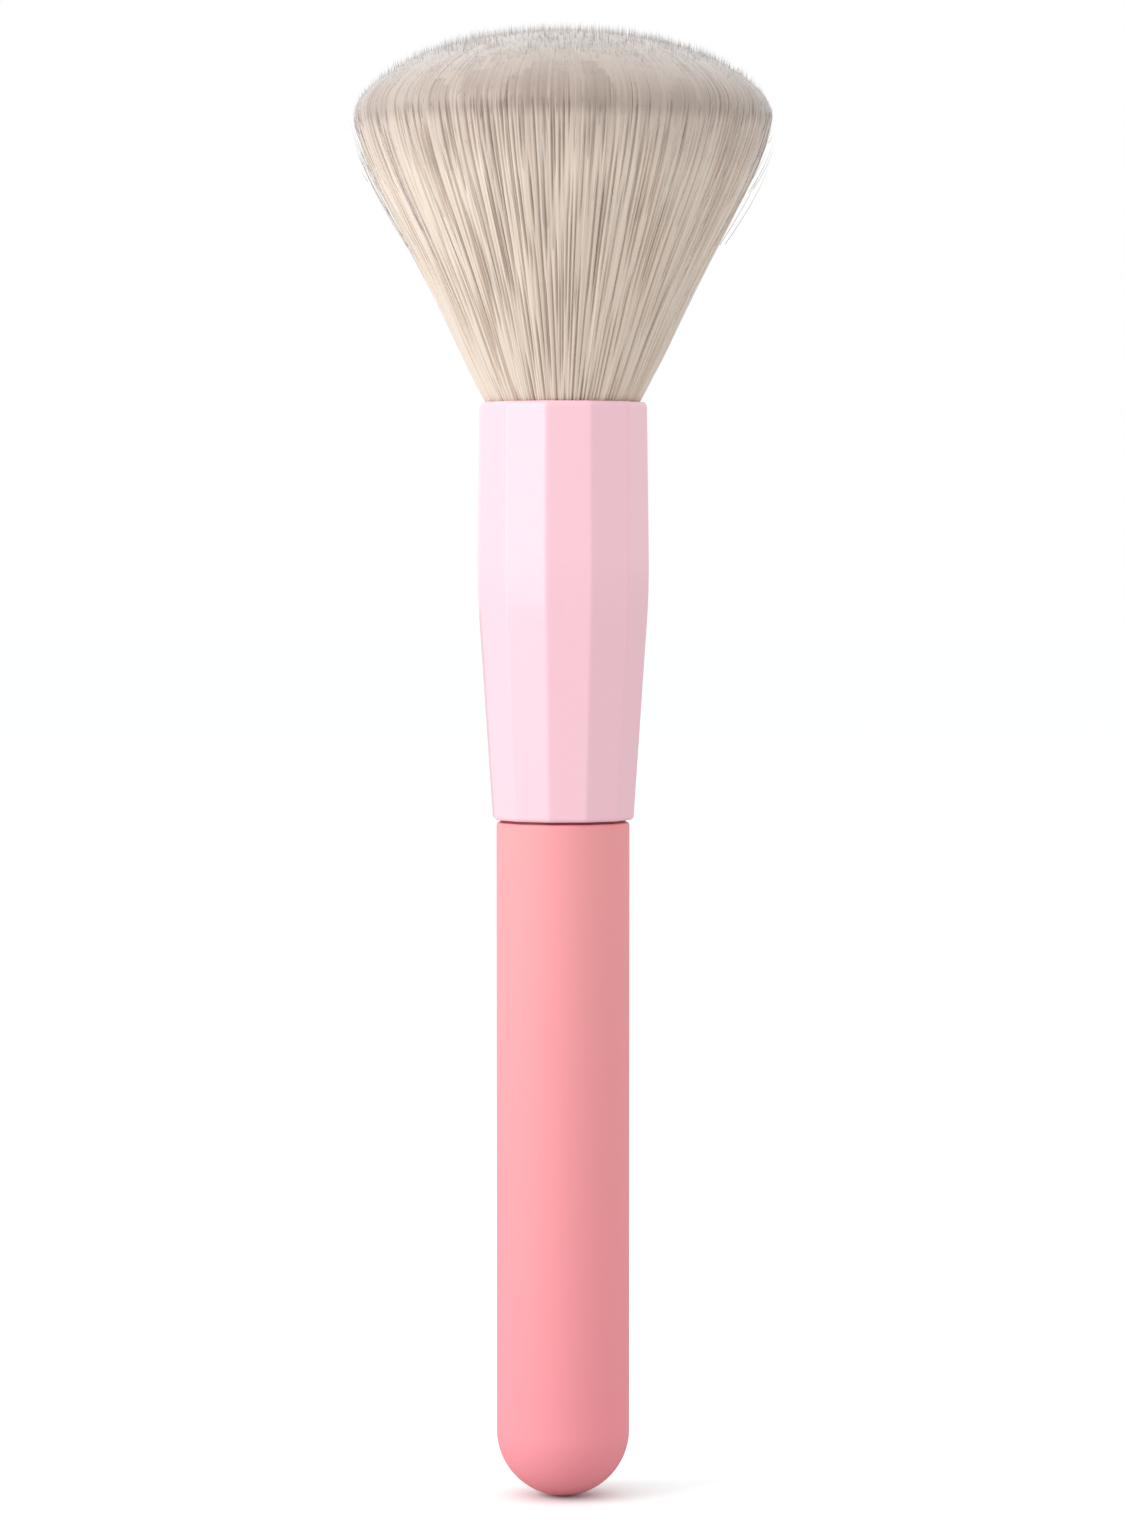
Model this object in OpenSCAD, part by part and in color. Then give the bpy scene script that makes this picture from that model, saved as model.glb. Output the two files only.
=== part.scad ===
// Powder brush, standing on the round end of its handle: a hollow handle, a faceted sleeve glued
// to it by a connector, and a flared, domed tuft held in a can inside the sleeve.
// Millimetres. The brush axis is +Z, and z = 0 is the tip of the handle's round end.

/* [Handle] */
// Outside diameter of the handle
handle_d = 15.8; // [14.6:0.1:18]
// Length of the handle, from its round tip to its shoulder
handle_len = 80.4; // [60:0.1:120]
// Wall of the hollow handle
handle_wall = 2; // [1.6:0.1:2.4]
// Rounding of the handle's shoulder
handle_edge_r = 0.35; // [0.1:0.05:0.6]

/* [Handle weight] */
// Length of the steel slug in the handle
weight_len = 30; // [15:1:38]
// Clearance round the slug
weight_fit = 0.25; // [0.1:0.05:0.6]
// Height of the bed that the slug stands on, above the handle's tip
weight_bed_h = 6.5; // [5.5:0.1:7]

/* [Connector] */
// Length of the spigot in the handle
lower_spigot_len = 14; // [10:0.5:20]
// Length of the spigot in the sleeve
upper_spigot_len = 14; // [10:0.5:18]
// Wall of the hollow connector
connector_wall = 1.6; // [1.2:0.1:2]
// Thickness of the collar between handle and sleeve
collar_t = 0.3; // [0.2:0.05:0.6]
// Depth of the seam, from the handle's side in to the collar
seam_depth = 0.45; // [0.35:0.05:0.55]
// Clearance round each spigot, which the glue fills
glue_gap = 0.15; // [0.1:0.01:0.2]
// Number of glue grooves on each spigot
groove_count = 3; // [2:1:4]
// Width of a glue groove
groove_w = 1.2; // [0.8:0.1:1.6]
// Depth of a glue groove
groove_depth = 0.45; // [0.3:0.05:0.6]

/* [Sleeve] */
// Number of flats round the sleeve
flat_count = 12; // [8:2:12]
// Turn of the flats about the axis, from +X to the first corner
flat_turn = 19; // [0:1:29]
// Length of the sleeve
sleeve_len = 49.4; // [46:0.1:60]
// How far the sleeve's foot stands out past the handle, over the flats
foot_overhang = 0.37; // [0.1:0.01:0.8]
// Wall at the sleeve's foot
foot_wall = 1.27; // [1.1:0.01:1.8]
// Rounding of the sleeve's lower edge
foot_edge_r = 0.5; // [0.2:0.05:0.6]
// Height of the bend above the sleeve's foot
bend_h = 27.5; // [22:0.5:34]
// Length of sleeve that the bend is blended over, to each side
bend_blend = 4; // [1:0.5:8]
// How much wider the sleeve is at the bend than at its lip, in radius
belly_swell = 0.26; // [0:0.01:0.6]
// Wall of the thin lip at the sleeve's mouth
lip_wall = 0.42; // [0.35:0.01:0.8]
// Depth of the mouth above the can
mouth_depth = 1.7; // [1.2:0.1:2.4]
// How much wider the mouth is than the bore for the can, in radius
mouth_step = 0.42; // [0.3:0.01:0.7]
// Height of the rounding at the lip
lip_round_h = 0.8; // [0.3:0.05:1.1]
// Width of the rounding at the lip
lip_round_w = 0.38; // [0.1:0.01:0.4]

/* [Ferrule can] */
// Outside diameter of the aluminium can
can_d = 17.6; // [16.6:0.1:19]
// Length of the can
can_len = 20.3; // [18:0.1:25]
// Wall of the can
can_wall = 0.35; // [0.25:0.05:0.5]
// Clearance between the can and its bore in the sleeve
can_fit = 0.15; // [0.1:0.01:0.25]
// Rounding of the can's lower edge
can_edge_r = 0.6; // [0.5:0.05:0.8]
// Width of the seat that the can stands on
can_seat_w = 0.5; // [0.3:0.05:0.8]
// Height of the crimp groove above the can's base
crimp_h = 4.6; // [3:0.1:6]
// Width of the crimp groove
crimp_w = 2; // [1.4:0.1:2.4]
// Depth of the crimp groove
crimp_depth = 0.5; // [0.3:0.05:0.6]
// Diameter of the vent hole in the can's base
vent_d = 3; // [2:0.1:5]

/* [Tuft] */
// Widest diameter of the tuft
tuft_d = 50.5; // [40:0.5:60]
// Length of hair above the sleeve's lip
hair_len = 44.8; // [38:0.1:60]
// Height of the dome above the widest ring
dome_h = 13.6; // [8:0.1:18]
// Number of strands
strand_count = 380; // [300:20:500]
// Clearance between the root bundle and the can
bundle_fit = 0.25; // [0.15:0.05:0.4]
// Length of the bound root bundle below the can's mouth
bundle_len = 12; // [8:0.5:13]
// How deep the strands run into the root bundle
strand_sink = 0.6; // [0.3:0.1:1.5]

/* [Root binding] */
// Thickness of the binding thread
thread_d = 0.6; // [0.4:0.05:0.8]
// Number of turns that lie side by side in the binding
thread_turns = 5; // [3:1:7]
// Height of the binding above the foot of the root bundle
binding_h = 3; // [1.5:0.1:3.5]
// Clearance between the binding and the bundle, and between resin and can
cast_fit = 0.1; // [0.05:0.01:0.15]

/* [Hidden] */

// Facets of a turn about the axis and of small arcs, and steps of the arcs in the sleeve's outline
round_fn = 72;
arc_fn = 32;
arc_steps = 5;
// Overrun of every cut past the face that it opens
cut_over = 1;

// Flats and corners: a corner lies this much farther out than the flat beside it
corner_scale = 1 / cos(180 / flat_count);

// Radii and heights of the handle and what stands in it
handle_r = handle_d / 2;
handle_bore_r = handle_r - handle_wall;
handle_lead_in = handle_edge_r;
weight_r = handle_bore_r - weight_fit;
weight_edge = 0.5;

// Radii and heights of the connector
lower_spigot_r = handle_bore_r - glue_gap;
collar_r = handle_r - seam_depth;
sleeve_z = handle_len + collar_t;
spigot_lead_in = 0.5;

// Radii and heights of the sleeve, the radii over its flats
foot_flat_r = handle_r + foot_overhang;
sleeve_bore_r = foot_flat_r - foot_wall;
upper_spigot_r = sleeve_bore_r - glue_gap;
can_r = can_d / 2;
can_bore_r = can_r + can_fit;
mouth_r = can_bore_r + mouth_step;
lip_flat_r = mouth_r + lip_wall;
bend_flat_r = lip_flat_r + belly_swell;
lip_z = sleeve_z + sleeve_len;
can_mouth_z = lip_z - mouth_depth;
can_z = can_mouth_z - can_len;
seat_r = can_r - can_edge_r - can_seat_w;

// Bond radii: each ring of glue stops this far short of the walls that it sticks to
bond_fit = 0.05;

// Radii and heights of the can and its fill
can_inside_r = can_r - can_wall;
can_floor_z = can_z + can_wall;
can_inside_edge_r = max(can_edge_r - can_wall, bond_fit);
crimp_r = (pow(crimp_w / 2, 2) + pow(crimp_depth, 2)) / (2 * crimp_depth);
crimp_x = can_r - crimp_depth + crimp_r;
crimp_z = can_z + crimp_h;
vent_r = vent_d / 2;

// Root bundle, with the waist that its binding lies in
bundle_r = can_inside_r - bundle_fit;
bundle_z = can_mouth_z - bundle_len;
binding_z = bundle_z + binding_h;
binding_len = thread_d * thread_turns;
waist_r = bundle_r - thread_d - cast_fit;

// Outline of the tuft: a flare with a belly, up to the widest ring, then a dome
tuft_r = tuft_d / 2;
apex_z = lip_z + hair_len;
ring_z = apex_z - dome_h;
flare_belly_share = 0.5;
flare_belly_power = 4;
dome_power = 2.2;

// Strands: how high their two bends lie, and how thick they are at foot, first and second bend,
// both as shares, of the strand's own height and of the spacing between strands
bend_height_shares = [0.6, 0.88];
strand_thickness_shares = [0.68, 0.6, 0.56];
strand_sides = 3;
golden_turn = 180 * (3 - sqrt(5));

// Small helpers for outlines
function mix(a, b, share) = a + (b - a) * share;
function mix_points(p, q, share) = [mix(p[0], q[0], share), mix(p[1], q[1], share)];
function arc(x, y, rx, ry, from, to) = [
    for (i = [0 : arc_steps])
        let (angle = mix(from, to, i / arc_steps)) [x + rx * cos(angle), y + ry * sin(angle)]
];
function blend(p, corner, q) = [
    for (i = [0 : arc_steps])
        let (share = i / arc_steps)
        mix_points(mix_points(p, corner, share), mix_points(corner, q, share), share)
];

// A solid turned about the brush axis from the outline that it is given
module turned() {
    rotate_extrude($fn = round_fn) children();
}

// Outline of a plain rod or bore, from one height to another
module rod_outline(r, from, to) {
    translate([0, from]) square([r, to - from]);
}

// Outline of a rod with a rounded edge at its upper end
module round_topped_outline(r, edge, from, to) {
    rod_outline(r - edge, from, to);
    rod_outline(r, from, to - edge);
    translate([r - edge, to - edge]) circle(edge, $fn = arc_fn);
}

// Outline of a rod with a rounded edge at its lower end
module round_footed_outline(r, edge, from, to) {
    rod_outline(r - edge, from, to);
    rod_outline(r, from + edge, to);
    translate([r - edge, from + edge]) circle(edge, $fn = arc_fn);
}

// Outline of a rod with a round end, whose tip is at the height given first
module round_ended_outline(r, from, to) {
    rod_outline(r, from + r, to);
    translate([0, from + r]) intersection() {
        circle(r, $fn = round_fn);
        translate([0, -r]) square([r, r]);
    }
}

// Outline of a ring round the axis
module ring_outline(inner, outer, from, to) {
    translate([inner, from]) square([outer - inner, to - from]);
}

// Lower ends of the glue grooves, spaced evenly along a spigot
function groove_heights(from, to) = [
    for (i = [1 : groove_count]) mix(from, to, i / (groove_count + 1)) - groove_w / 2
];

// Glue grooves of one spigot, as rings to be cut
module groove_outlines(spigot_r, from, to) {
    for (z = groove_heights(from, to))
        ring_outline(spigot_r - groove_depth, spigot_r + cut_over, z, z + groove_w);
}

// Rings of cured glue that fill the grooves of one spigot and reach to the bore round it
module glue_rings(spigot_r, from, to) {
    for (z = groove_heights(from, to))
        turned() ring_outline(
            spigot_r - groove_depth + bond_fit, spigot_r + glue_gap - bond_fit,
            z + bond_fit, z + groove_w - bond_fit
        );
}

// Handle: a moulded tube with a closed round end and an even wall
module handle_shell() {
    color("#EFA6AB")
    turned() difference() {
        union() {
            round_ended_outline(handle_r, 0, handle_len - handle_edge_r);
            round_topped_outline(handle_r, handle_edge_r, handle_r, handle_len);
        }
        round_ended_outline(handle_bore_r, handle_wall, handle_len + cut_over);
        polygon([
            [0, handle_len - handle_lead_in], [handle_bore_r, handle_len - handle_lead_in],
            [handle_bore_r + handle_lead_in, handle_len],
            [handle_bore_r + handle_lead_in, handle_len + cut_over], [0, handle_len + cut_over]
        ]);
    }
}

// Bed of hot-melt glue in the round end of the handle's bore
module weight_bond() {
    color("#EDE3C8")
    turned() intersection() {
        round_ended_outline(handle_bore_r - bond_fit, handle_wall + bond_fit, handle_len);
        rod_outline(handle_bore_r, 0, weight_bed_h);
    }
}

// Steel slug with chamfered ends, standing on its bed
module handle_weight() {
    top_z = weight_bed_h + weight_len;
    color("#8C9096")
    turned() polygon([
        [0, weight_bed_h], [weight_r - weight_edge, weight_bed_h],
        [weight_r, weight_bed_h + weight_edge], [weight_r, top_z - weight_edge],
        [weight_r - weight_edge, top_z], [0, top_z]
    ]);
}

// Connector: two grooved spigots with a thin collar between them, cored out from above
module connector() {
    low_z = handle_len - lower_spigot_len;
    high_z = sleeve_z + upper_spigot_len;
    color("#8E2F3C")
    turned() difference() {
        polygon([
            [0, low_z], [lower_spigot_r - spigot_lead_in, low_z],
            [lower_spigot_r, low_z + spigot_lead_in], [lower_spigot_r, handle_len],
            [collar_r, handle_len], [collar_r, sleeve_z],
            [upper_spigot_r, sleeve_z], [upper_spigot_r, high_z - spigot_lead_in],
            [upper_spigot_r - spigot_lead_in, high_z], [0, high_z]
        ]);
        rod_outline(lower_spigot_r - connector_wall, low_z + connector_wall, high_z + cut_over);
        groove_outlines(lower_spigot_r, low_z, handle_len);
        groove_outlines(upper_spigot_r, sleeve_z, high_z);
    }
}

// Glue between the connector and the handle
module handle_bond() {
    color("#D9D2B0")
    glue_rings(lower_spigot_r, handle_len - lower_spigot_len, handle_len);
}

// Glue between the connector and the sleeve
module sleeve_bond() {
    color("#D9D2B0")
    glue_rings(upper_spigot_r, sleeve_z, sleeve_z + upper_spigot_len);
}

// Outline of the sleeve's outside, as radius over its corners and height above its foot: a
// rounded foot, a straight taper, the blended bend, the upper barrel and the rounded lip
function sleeve_outline() =
    let (
        foot = foot_flat_r * corner_scale,
        bend = [bend_flat_r * corner_scale, bend_h],
        lip = lip_flat_r * corner_scale,
        taper_end = [foot, foot_edge_r],
        barrel_end = [lip, sleeve_len - lip_round_h],
        below = mix_points(bend, taper_end, bend_blend / (bend_h - foot_edge_r)),
        above = mix_points(bend, barrel_end, bend_blend / (barrel_end[1] - bend_h))
    )
    concat(
        [[0, 0]],
        arc(foot - foot_edge_r, foot_edge_r, foot_edge_r, foot_edge_r, -90, 0),
        blend(below, bend, above),
        arc(lip - lip_round_w, barrel_end[1], lip_round_w, lip_round_h, 0, 90),
        [[0, sleeve_len]]
    );

// Sleeve: faceted outside, and a bore that steps up from the connector's spigot to the can's
// seat, the can and the mouth that the hair fans out of
module sleeve() {
    color("#F8D3E0")
    difference() {
        translate([0, 0, sleeve_z]) rotate(flat_turn)
            rotate_extrude($fn = flat_count) polygon(sleeve_outline());
        turned() polygon([
            [0, sleeve_z - cut_over], [sleeve_bore_r, sleeve_z - cut_over],
            [sleeve_bore_r, sleeve_z + upper_spigot_len],
            [seat_r, can_z], [can_bore_r, can_z],
            [can_bore_r, can_mouth_z], [mouth_r, can_mouth_z],
            [mouth_r, lip_z + cut_over], [0, lip_z + cut_over]
        ]);
    }
}

// Ferrule can: a thin drawn cup with a crimp groove and a vent hole in its base
module ferrule_can() {
    color("#C9CCD0")
    turned() difference() {
        round_footed_outline(can_r, can_edge_r, can_z, can_mouth_z);
        translate([crimp_x, crimp_z]) circle(crimp_r, $fn = arc_fn);
        difference() {
            round_footed_outline(
                can_inside_r, can_inside_edge_r, can_floor_z, can_mouth_z + cut_over
            );
            translate([crimp_x, crimp_z]) circle(crimp_r + can_wall, $fn = arc_fn);
        }
        rod_outline(vent_r, can_z - cut_over, can_floor_z + cut_over);
    }
}

// Bead of glue in the can's crimp groove, which reaches to the sleeve's bore
module can_bond() {
    color("#D9D2B0")
    turned() intersection() {
        translate([crimp_x, crimp_z]) circle(crimp_r - bond_fit, $fn = arc_fn);
        rod_outline(can_bore_r - bond_fit, can_z, can_mouth_z);
    }
}

// Resin cast in the can under the root bundle, keyed by the crimp and the vent hole
module root_resin() {
    color("#E4D7A4")
    turned() {
        difference() {
            round_footed_outline(
                can_inside_r - cast_fit, can_inside_edge_r, can_floor_z, bundle_z
            );
            translate([crimp_x, crimp_z]) circle(crimp_r + can_wall + cast_fit, $fn = arc_fn);
        }
        rod_outline(vent_r - cast_fit, can_z, can_floor_z + can_wall);
    }
}

// Thread band wound tight round the waist of the root bundle
module tuft_binding() {
    color("#F2EFE6")
    turned() ring_outline(
        waist_r + cast_fit, waist_r + cast_fit + thread_d, binding_z, binding_z + binding_len
    );
}

// Root bundle: the bound roots of the hair, as a rod with a waist for its binding
module root_bundle() {
    turned() difference() {
        rod_outline(bundle_r, bundle_z, can_mouth_z);
        ring_outline(
            waist_r, bundle_r + cut_over, binding_z - cast_fit, binding_z + binding_len + cast_fit
        );
    }
}

// Radius of the outermost strand's line at a share of the height from can mouth to widest ring
root_ring_r = bundle_r / (1 + strand_thickness_shares[0] / sqrt(strand_count));
function flare_r(share) =
    mix(root_ring_r, tuft_r, share + flare_belly_share * pow(share, flare_belly_power) * (1 - share));

// Every strand keeps its own share of the tuft's radius, and the inner ones are longer and so
// spread later, so no two ever cross
function strand_share(i) = sqrt((i + 0.5) / (strand_count - 0.5));

// Height at which a strand ends in the surface of the dome
function dome_z(share) = ring_z + dome_h * pow(1 - pow(share, dome_power), 1 / dome_power);

// Shares of height at which a strand has a ring of points: its foot and its two bends
ring_shares = concat([-strand_sink / (ring_z - can_mouth_z)], bend_height_shares);
strand_points = strand_sides * len(ring_shares) + 1;

// Points of one strand: a ring at each height, and its tip
function strand(i) =
    let (share = strand_share(i), turn = i * golden_turn)
    concat(
        [
            for (level = [0 : len(ring_shares) - 1], side = [0 : strand_sides - 1])
                let (
                    reach = flare_r(ring_shares[level]),
                    thick = reach * strand_thickness_shares[level] / sqrt(strand_count),
                    angle = turn + side * 360 / strand_sides
                )
                [
                    reach * share * cos(turn) + thick * cos(angle),
                    reach * share * sin(turn) + thick * sin(angle),
                    mix(can_mouth_z, dome_z(share), ring_shares[level])
                ]
        ],
        [[tuft_r * share * cos(turn), tuft_r * share * sin(turn), dome_z(share)]]
    );

// Faces of one strand, whose first point is number n: its foot, its sides and its point
function strand_faces(n) =
    let (top = n + strand_sides * (len(ring_shares) - 1), tip = n + strand_points - 1)
    concat(
        [[for (side = [0 : strand_sides - 1]) n + side]],
        [
            for (level = [0 : len(ring_shares) - 2], side = [0 : strand_sides - 1], half = [0, 1])
                let (
                    a = n + strand_sides * level + side,
                    b = n + strand_sides * level + (side + 1) % strand_sides
                )
                half == 0 ? [a, a + strand_sides, b + strand_sides] : [a, b + strand_sides, b]
        ],
        [for (side = [0 : strand_sides - 1]) [top + side, tip, top + (side + 1) % strand_sides]]
    );

// All strands of the tuft as one set of slender pointed prisms
module strands() {
    polyhedron(
        points = [for (i = [0 : strand_count - 1], p = strand(i)) p],
        faces = [for (i = [0 : strand_count - 1], f = strand_faces(i * strand_points)) f]
    );
}

// Tuft: the strands, fused to the bound bundle of their roots
module bristle_tuft() {
    color("#DCCBB9") {
        root_bundle();
        strands();
    }
}

handle_shell();
weight_bond();
handle_weight();
connector();
handle_bond();
sleeve_bond();
sleeve();
ferrule_can();
can_bond();
root_resin();
tuft_binding();
bristle_tuft();
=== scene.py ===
import math

import bpy
import numpy as np
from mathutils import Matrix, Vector


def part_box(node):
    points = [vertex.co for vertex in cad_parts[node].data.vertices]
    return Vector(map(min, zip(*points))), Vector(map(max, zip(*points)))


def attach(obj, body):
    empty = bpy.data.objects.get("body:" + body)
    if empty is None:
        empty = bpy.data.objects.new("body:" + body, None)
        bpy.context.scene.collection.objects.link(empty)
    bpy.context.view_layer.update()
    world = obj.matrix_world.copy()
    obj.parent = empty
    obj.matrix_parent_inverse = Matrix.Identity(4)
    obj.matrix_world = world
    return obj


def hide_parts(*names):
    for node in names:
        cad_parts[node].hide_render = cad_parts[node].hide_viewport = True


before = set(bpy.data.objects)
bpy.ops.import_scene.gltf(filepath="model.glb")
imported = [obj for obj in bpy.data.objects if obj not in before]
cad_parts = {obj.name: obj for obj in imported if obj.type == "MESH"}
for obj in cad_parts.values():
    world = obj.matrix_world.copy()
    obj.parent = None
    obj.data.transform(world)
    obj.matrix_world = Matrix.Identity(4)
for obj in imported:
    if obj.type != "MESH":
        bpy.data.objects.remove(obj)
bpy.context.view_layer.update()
bpy.context.scene.view_settings.view_transform = "Standard"

# Camera
# The brush stands upright in front of a long lens, a little above the middle of its height, so
# the sleeve's lip curves up and its foot curves down. Lengths are metres throughout.
eye_distance = 0.634
eye_height = 0.113
aim_height = 0.0868
lens_mm = 125.3


def add_object(name, data):
    """A new object in the scene."""
    made = bpy.data.objects.new(name, data)
    bpy.context.scene.collection.objects.link(made)
    return made


def face_brush(viewer):
    """Turns the camera or a lamp to the height on the brush's axis that the camera aims at."""
    line_of_sight = Vector((0, 0, aim_height)) - viewer.location
    viewer.rotation_euler = line_of_sight.to_track_quat("-Z", "Y").to_euler()


camera = add_object("camera", bpy.data.cameras.new("camera"))
camera.location = (0, -eye_distance, eye_height)
camera.data.lens = lens_mm
face_brush(camera)
bpy.context.scene.camera = camera

# Handle
# A hollow tube moulded in one piece with a closed round end, lacquered in a matte salmon pink
# that feels like soft rubber. It is turned here from its outline, at the size the frame gives.
MM = 0.001
handle_wall = 2.0 * MM
shoulder_round = 0.35 * MM
axis_radius = 0.001 * MM
turn_steps = 144
end_steps = 28
edge_steps = 6

handle_low, handle_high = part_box("handle_shell")
handle_radius = (handle_high.y - handle_low.y) / 2
handle_top = handle_high.z
handle_bore = handle_radius - handle_wall


def arc(centre, radii, start, stop, steps):
    """Points of an arc as (radius, height), from one angle to the other in degrees."""
    angles = np.radians(np.linspace(start, stop, steps + 1))
    return [
        (centre[0] + radii[0] * math.cos(a), centre[1] + radii[1] * math.sin(a)) for a in angles
    ]


def circle_ring(radius, height, angles):
    """One ring of points round the brush axis."""
    return np.column_stack(
        [np.cos(angles) * radius, np.sin(angles) * radius, np.full(len(angles), height)]
    )


def piece_from_rings(name, rings, closed):
    """A mesh that joins rings of points. A ring of one point closes an end on the axis, and a
    closed mesh joins its last ring to its first."""
    points = [tuple(point) for ring in rings for point in ring]
    starts = np.cumsum([0] + [len(ring) for ring in rings])
    rows = [list(range(a, b)) for a, b in zip(starts, starts[1:])]
    pairs = list(zip(rows, rows[1:]))
    if closed:
        pairs.append((rows[-1], rows[0]))
    faces = []
    for below, above in pairs:
        count = max(len(below), len(above))
        for i in range(count):
            j = (i + 1) % count
            if len(below) == 1:
                faces.append((below[0], above[j], above[i]))
            elif len(above) == 1:
                faces.append((below[i], below[j], above[0]))
            else:
                faces.append((below[i], below[j], above[j], above[i]))
    mesh = bpy.data.meshes.new(name)
    mesh.from_pydata(points, [], faces)
    mesh.shade_smooth()
    return add_object(name, mesh)


def even_shine(piece):
    """Keeps flat faces flat and lets only the narrow rounded edges between them turn the light."""
    piece.modifiers.new("even_shine", "WEIGHTED_NORMAL")


def set_values(node, values):
    """Sets a shader node's inputs by name."""
    for key, value in values.items():
        node.inputs[key].default_value = value


def add_node(tree, kind, inputs=None, **settings):
    """A shader node with its settings, and with a value or a link for each input named."""
    made = tree.nodes.new(kind)
    for key, value in settings.items():
        setattr(made, key, value)
    for key, value in (inputs or {}).items():
        if isinstance(value, bpy.types.NodeSocket):
            tree.links.new(value, made.inputs[key])
        else:
            made.inputs[key].default_value = value
    return made


# Input and output numbers of a Mix node that mixes colours
MIX_SHARE, MIX_A, MIX_B, MIX_RESULT = 0, 6, 7, 2


def mix_colours(tree, share, a, b, blend="MIX"):
    """The mixed colour's socket."""
    made = add_node(
        tree, "ShaderNodeMix", {MIX_SHARE: share, MIX_A: a, MIX_B: b},
        data_type="RGBA", blend_type=blend,
    )
    return made.outputs[MIX_RESULT]


def compute(tree, operation, a, b, c=0.0):
    """The socket of a Math node's result."""
    return add_node(tree, "ShaderNodeMath", {0: a, 1: b, 2: c}, operation=operation).outputs[0]


def new_group(name, inputs, outputs):
    """An empty shader group. Inputs are name: (kind, value), and outputs name: kind."""
    tree = bpy.data.node_groups.new(name, "ShaderNodeTree")
    for label, (kind, value) in inputs.items():
        socket = tree.interface.new_socket(name=label, in_out="INPUT", socket_type=kind)
        socket.default_value = value
    for label, kind in outputs.items():
        tree.interface.new_socket(name=label, in_out="OUTPUT", socket_type=kind)
    return tree, tree.nodes.new("NodeGroupInput").outputs, tree.nodes.new("NodeGroupOutput").inputs


def rgb(red, green, blue):
    """A colour as shaders hold it, from its display values of 0 to 255."""
    shares = [channel / 255 for channel in (red, green, blue)]
    return (*[s / 12.92 if s <= 0.04045 else ((s + 0.055) / 1.055) ** 2.4 for s in shares], 1.0)


# The skin of every moulded, cast or drawn piece: soft clouds that shift its colour a little,
# and a fine grain that breaks up its shine and lies in its surface as a bump.
skin_group, skin_in, skin_out = new_group(
    "surface_skin",
    {
        "Color": ("NodeSocketColor", (0.8, 0.8, 0.8, 1)),
        "Cloud Color": ("NodeSocketColor", (0.7, 0.7, 0.7, 1)),
        "Cloud Scale": ("NodeSocketFloat", 60.0),
        "Cloud Amount": ("NodeSocketFloat", 0.2),
        "Grain Scale": ("NodeSocketFloat", 3000.0),
        "Grain Depth": ("NodeSocketFloat", 0.00001),
        "Roughness": ("NodeSocketFloat", 0.5),
        "Roughness Spread": ("NodeSocketFloat", 0.05),
    },
    {"Color": "NodeSocketColor", "Roughness": "NodeSocketFloat", "Normal": "NodeSocketVector"},
)
skin_place = add_node(skin_group, "ShaderNodeTexCoord").outputs["Object"]
clouds = add_node(
    skin_group, "ShaderNodeTexNoise",
    {"Vector": skin_place, "Scale": skin_in["Cloud Scale"], "Detail": 3.0},
).outputs["Fac"]
grain = add_node(
    skin_group, "ShaderNodeTexNoise",
    {"Vector": skin_place, "Scale": skin_in["Grain Scale"], "Detail": 2.0},
).outputs["Fac"]
skin_bump = add_node(
    skin_group, "ShaderNodeBump",
    {"Strength": 1.0, "Distance": skin_in["Grain Depth"], "Height": grain},
)
cloud_share = compute(skin_group, "MULTIPLY", clouds, skin_in["Cloud Amount"])
skin_group.links.new(
    mix_colours(skin_group, cloud_share, skin_in["Color"], skin_in["Cloud Color"]),
    skin_out["Color"],
)
centred_grain = compute(skin_group, "SUBTRACT", grain, 0.5)
skin_group.links.new(
    compute(
        skin_group, "MULTIPLY_ADD", centred_grain, skin_in["Roughness Spread"],
        skin_in["Roughness"],
    ),
    skin_out["Roughness"],
)
skin_group.links.new(skin_bump.outputs["Normal"], skin_out["Normal"])


def skinned_material(name, skin, shader):
    """A material with a surface skin. The skin's values go to the group, the rest to the shader."""
    material = bpy.data.materials.new(name)
    material.use_nodes = True
    tree = material.node_tree
    principled = tree.nodes["Principled BSDF"]
    group = add_node(tree, "ShaderNodeGroup", node_tree=skin_group)
    set_values(group, skin)
    set_values(principled, shader)
    tree.links.new(group.outputs["Color"], principled.inputs["Base Color"])
    tree.links.new(group.outputs["Roughness"], principled.inputs["Roughness"])
    tree.links.new(group.outputs["Normal"], principled.inputs["Normal"])
    return material


def place_piece(piece, material, slot, *nodes):
    """Dresses a new piece, and puts it on the brush in place of the CAD nodes it stands for."""
    piece.data.materials.append(material)
    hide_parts(*nodes)
    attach(piece, "root")


handle_lacquer = skinned_material(
    "salmon_soft_touch_lacquer",
    {
        "Cloud Color": rgb(246, 157, 164),
        "Cloud Scale": 45.0,
        "Cloud Amount": 0.25,
        "Grain Scale": 3500.0,
        "Grain Depth": 0.012 * MM,
        "Roughness": 0.56,
        "Roughness Spread": 0.1,
    },
    {"Specular IOR Level": 0.15},
)
# Painted shade: the lacquer is painted a little darker towards the handle's round end
painted_foot_shade_pink = rgb(246, 152, 162)
high_pink = rgb(248, 166, 167)
lacquer_tree = handle_lacquer.node_tree
height_share = add_node(
    lacquer_tree, "ShaderNodeSeparateXYZ",
    {"Vector": add_node(lacquer_tree, "ShaderNodeTexCoord").outputs["Generated"]},
).outputs["Z"]
lacquer_tree.links.new(
    mix_colours(lacquer_tree, height_share, painted_foot_shade_pink, high_pink),
    next(n for n in lacquer_tree.nodes if n.type == "GROUP").inputs["Color"],
)

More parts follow.
